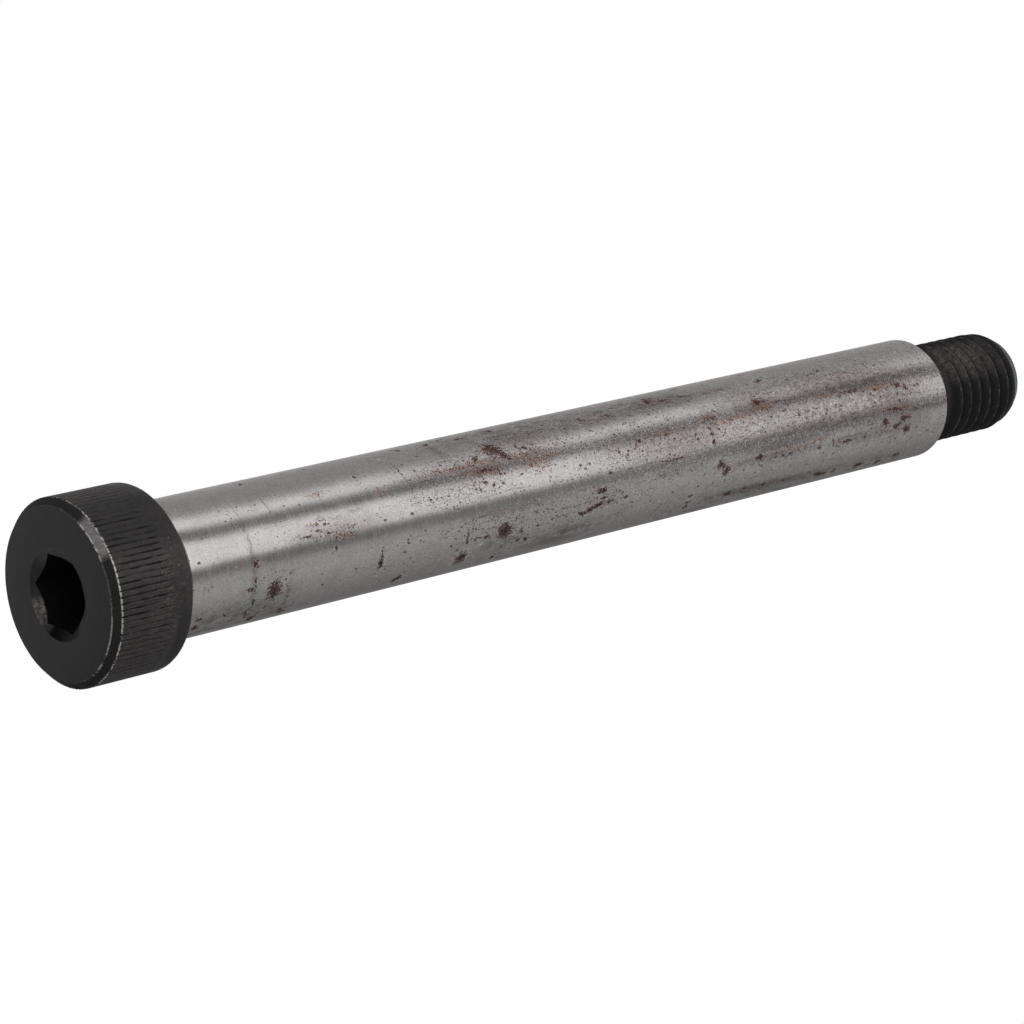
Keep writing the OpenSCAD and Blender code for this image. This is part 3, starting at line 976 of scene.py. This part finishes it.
stageSizes = {
    "floorSize": 6000.0,
    "floorDrop": 0.2,
    "fadeFrom": 250.0,
    "fadeTo": 900.0,
}


def makeFloor():
    # Only the camera sees the floor, and only from above, so the socket face gets its light from below
    half = mm(stageSizes["floorSize"]) / 2
    drop = -mm(stageSizes["floorDrop"])
    mesh = bpy.data.meshes.new("floor")
    mesh.from_pydata([(x, y, drop) for x, y in ((-half, -half), (half, -half), (half, half), (-half, half))],
                     [], [(0, 1, 2, 3)])
    floor = addObject("floor", mesh)
    material, tree, add, combine = newMaterial("paleFloor")
    paint = add("ShaderNodeBsdfDiffuse", hexColour("#f2f2f2"))
    white = add("ShaderNodeEmission", (1, 1, 1, 1), 1.0)
    place = add("ShaderNodeTexCoord").outputs["Object"]
    away = add("ShaderNodeVectorMath LENGTH", place)
    faded = combine((away, mm(stageSizes["fadeFrom"]), mm(stageSizes["fadeTo"])))
    front = combine(1.0, add("ShaderNodeNewGeometry").outputs["Backfacing"], by="SUBTRACT")
    shown = combine(front, add("ShaderNodeLightPath").outputs["Is Camera Ray"])
    surface = add("ShaderNodeMixShader", faded, paint, white)
    mix = add("ShaderNodeMixShader", shown, add("ShaderNodeBsdfTransparent"), surface)
    add("ShaderNodeOutputMaterial", mix)
    mesh.materials.append(material)


# The light tent round the bolt is grey cloth, with openings that show the white background behind it.
# Pairs are (degrees round from +X, share of white).
studioTent = {
    "cloth": [(-180, 0.315), (-166, 0.35), (-137, 0.33), (-133, 0.14), (-119, 0.135), (-115, 0.29),
              (-75, 0.26), (-71, 0.165), (-60, 0.155), (-58, 0.175), (-52, 0.36), (-50, 0.4),
              (-30, 0.415), (0, 0.3), (40, 0.2), (62, 0.166), (90, 0.25), (100, 0.515),
              (118, 0.515), (128, 0.4), (150, 0.33), (180, 0.315)],
    "openings": [(-180, 0), (-166, 0), (-158, 0.28), (-154, 0.86), (-141, 0.86), (-136, 0),
                 (-118, 0), (-113, 1), (-78, 1), (-73, 0), (180, 0)],
    "openingTop": (36, 48, 0.45),     # the openings close between these elevations, to this share
}


def setCurve(node, points):
    curve = node.mapping.curves[0]
    while len(curve.points) < len(points):
        curve.points.new(0.5, 0.5)
    for knot, (degrees, value) in zip(curve.points, points):
        knot.location = ((degrees + 180) / 360, value)
        knot.handle_type = "VECTOR"
    node.mapping.update()


def makeWorld():
    world = bpy.data.worlds.new("studio")
    bpy.context.scene.world = world
    world.use_nodes = True
    tree = world.node_tree
    tree.nodes.clear()
    add, combine = toolsFor(tree)
    direction = add("ShaderNodeTexCoord").outputs["Generated"]
    x, y, z = add("ShaderNodeSeparateXYZ", direction).outputs
    share = add("ShaderNodeMapRange", combine(y, x, by="ARCTAN2"), -math.pi, math.pi)
    curves = {}
    for name in ("cloth", "openings"):
        curves[name] = add("ShaderNodeFloatCurve", {"Value": share})
        setCurve(curves[name], studioTent[name])
    low, high, least = studioTent["openingTop"]
    upward = add("ShaderNodeMath ARCSINE", z)
    dimmed = add("ShaderNodeMapRange", upward, math.radians(low), math.radians(high), 1.0, least)
    opening = combine(curves["openings"], dimmed)
    grey = add("ShaderNodeBackground", (1, 1, 1, 1), curves["cloth"])
    white = add("ShaderNodeBackground", (1, 1, 1, 1), 1.0)
    tent = add("ShaderNodeMixShader", opening, grey, white)
    # the camera sees the white background all round, and metal sees it through the openings
    path = add("ShaderNodeLightPath").outputs
    mirrored = combine(path["Is Glossy Ray"], path["Is Transmission Ray"], by="ADD")
    through = add("ShaderNodeMath MULTIPLY_ADD", mirrored, opening, path["Is Camera Ray"], use_clamp=True)
    add("ShaderNodeOutputWorld", add("ShaderNodeMixShader", through, tent, white))


def makeLamps():
    for name, place, width, power in (("keyLamp", (-500, -700, 1100), 700, 11.0),
                                      ("fillLamp", (900, -200, 900), 700, 5.0)):
        data = bpy.data.lights.new(name, "AREA")
        data.size = mm(width)
        data.energy = power
        lamp = addObject(name, data)
        lamp.location = [mm(v) for v in place]
        lamp.rotation_euler = (Vector((0, 0, 0.08)) - lamp.location).to_track_quat("-Z", "Y").to_euler()
        lamp.visible_glossy = False     # the tent's openings are what the metal mirrors


makeFloor()
makeWorld()
makeLamps()
bpy.context.scene.view_settings.view_transform = "Standard"
print("stage made")
